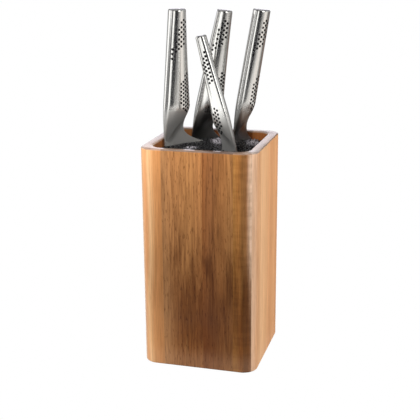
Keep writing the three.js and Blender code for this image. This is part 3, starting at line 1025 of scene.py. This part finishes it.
def rod_starts(random):
    """Where the rods stand on the insert's plate: a staggered grid inside a rounded square."""
    half = INNER_HALF - 1.7 * MM
    corner = INNER_RADIUS
    row_gap = ROD_PITCH * math.sqrt(3) / 2
    starts = []
    for row in range(int(2 * half / row_gap) + 1):
        y = -half + row * row_gap
        x = -half + (row % 2) * ROD_PITCH / 2
        while x <= half:
            reach = math.hypot(max(abs(x) - half + corner, 0), max(abs(y) - half + corner, 0))
            if reach <= corner:
                starts.append((x, y))
            x += ROD_PITCH
    starts = np.array(starts)
    return starts + random.uniform(-0.25 * MM, 0.25 * MM, starts.shape)


def pushed_aside(lines, knife, place):
    """Rod centrelines, bent clear of a blade to the side that each rod's top is on."""
    x, y, z = in_knife(lines, place)
    depth = knife["depth"]
    spine, edge = blade_sides(knife, np.clip(-z / depth, 0, 1))
    near = smoothstep((x - spine + BEND_MARGIN) / (BEND_MARGIN - FULL_BEND))
    near *= smoothstep((edge + BEND_MARGIN - x) / (BEND_MARGIN - FULL_BEND))
    near *= smoothstep((z + depth + 2 * BEND_MARGIN) / (2 * BEND_MARGIN - 1))
    side = np.where(y[:, -1:] >= 0, 1.0, -1.0)
    clear = BLADE_BACK / 2 + ROD_RADIUS / MM + BLADE_GAP
    moved = side * np.sqrt(clear ** 2 + np.maximum(side * y, 0) ** 2)
    return lines + ((moved - y) * near)[..., None] * place[2] * MM


def clear_of_blade(lines, knife, place):
    """Which rods stay clear of the wide upper half of a blade."""
    x, y, z = in_knife(lines, place)
    beside = (x > -HEEL_MARGIN) & (x < knife["heel"] + HEEL_MARGIN) & (z > -knife["depth"] / 2)
    return ~(beside & (np.abs(y) < BLADE_BACK / 2 + ROD_RADIUS / MM - TOUCH)).any(1)


def rod_lines(places):
    """The centrelines of the rods, from the plate up, uneven in height and bent by the blades."""
    random = np.random.default_rng(7)
    starts = rod_starts(random)
    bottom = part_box("insert_base_plate")[1].z
    count = len(starts)
    x, y = starts.T
    wave = np.sin(x * 210 + 1.3) * np.sin(y * 170 + 0.4) + 0.6 * np.sin(x * 90 - y * 130)
    tops = BRISTLE_TOP - 0.6 * MM + wave * 0.7 * MM + random.uniform(-0.8, 0.5, count) * MM
    share = np.linspace(0, 1, ROD_RINGS) ** 0.8
    lines = np.zeros((count, ROD_RINGS, 3))
    lean = random.normal(0, 0.5 * MM, (count, 2))
    lines[:, :, :2] = starts[:, None] + lean[:, None] * share[None, :, None] ** 2
    lines[:, :, 2] = bottom + (tops - bottom)[:, None] * share[None]
    for name, knife in KNIVES.items():
        lines = pushed_aside(lines, knife, places[name])
    limit = INNER_HALF - ROD_RADIUS - 0.1 * MM
    lines[:, :, :2] = np.clip(lines[:, :, :2], -limit, limit)
    kept = [clear_of_blade(lines, knife, places[name]) for name, knife in KNIVES.items()]
    return lines[np.all(kept, 0)]


def rod_mesh(lines):
    """Every rod as a closed prism with a blunt, domed tip."""
    count = len(lines)
    radii = np.r_[np.full(ROD_RINGS, ROD_RADIUS), ROD_RADIUS * 0.85]
    tips = lines[:, -1:].copy()
    tips[..., 2] += ROD_RADIUS * 0.25
    path = np.concatenate([lines, tips], 1)
    angles = 2 * np.pi * np.arange(ROD_SIDES) / ROD_SIDES
    around = np.stack([np.cos(angles), np.sin(angles), np.zeros(ROD_SIDES)], 1)
    rings = path[:, :, None] + radii[None, :, None, None] * around[None, None]
    apex = tips[:, 0] + np.array([0, 0, ROD_RADIUS * 0.06])
    per = (ROD_RINGS + 1) * ROD_SIDES
    vertices = np.concatenate([rings.reshape(count, per, 3), apex[:, None]], 1)
    faces = []
    for a, b, c, d in tube_faces(ROD_RINGS + 1, ROD_SIDES):
        faces += [(a, b, c), (a, c, d)]
    last = ROD_RINGS * ROD_SIDES
    faces += [(last + k, last + (k + 1) % ROD_SIDES, per) for k in range(ROD_SIDES)]
    faces += [(0, k + 1, k) for k in range(1, ROD_SIDES - 1)]
    faces = np.array(faces)[None] + (np.arange(count) * (per + 1))[:, None, None]
    return vertices.reshape(-1, 3), faces.reshape(-1, 3).tolist()


def bristle_material(name):
    """Black plastic, slightly mottled, with painted glints that make the rods' tips pale in places.
    """
    paint = Paint(name)
    mottle = paint.noise(paint.place((420, 420, 10)), 2)
    color = paint.mix(mottle, srgb(5, 5, 6), srgb(18, 17, 19))
    glint = 0.0
    for across, along, width, depth in GLINT_PATCHES:
        patch = paint.nodes.new("ShaderNodeTexGradient")
        patch.gradient_type = "SPHERICAL"
        spread = paint.place((1 / width, 1 / depth, 0), GLINT_TURN,
                             (-across / width, -along / depth, 0))
        paint.links.new(spread, patch.inputs["Vector"])
        glint = paint.math("MAXIMUM", glint, paint.span(patch.outputs["Fac"], 0.0, 0.8))
    glint = paint.math("MULTIPLY", glint, paint.span(mottle, 0.34, 0.5))
    at_tip = paint.span(paint.axes()["Z"], BRISTLE_TOP - 3 * MM, BRISTLE_TOP - 1 * MM)
    # Painted glints: the rods' tips go pale grey inside the patches.
    color = paint.mix(paint.math("MULTIPLY", glint, at_tip), color, srgb(166, 161, 166))
    paint.set(("Base Color", color), ("Roughness", paint.ripple(mottle, 0.2, 0.34)))
    return paint.material


def build_bristles(places):
    rods = new_piece("bristle_rods", *rod_mesh(rod_lines(places)),
                     [bristle_material("bristle_plastic")], sharp_angle=30)
    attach(rods, "bristle_insert")
    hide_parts("bristle_bundle")
    repaint("insert_base_plate", bristle_material("insert_plastic"))


# ------------------------------------------------------------------ the whole
make_camera()
make_studio()
build_wood()
build_feet()
knife_places = {name: knife_frame(name) for name in KNIVES}
build_knives(knife_places)
build_bristles(knife_places)
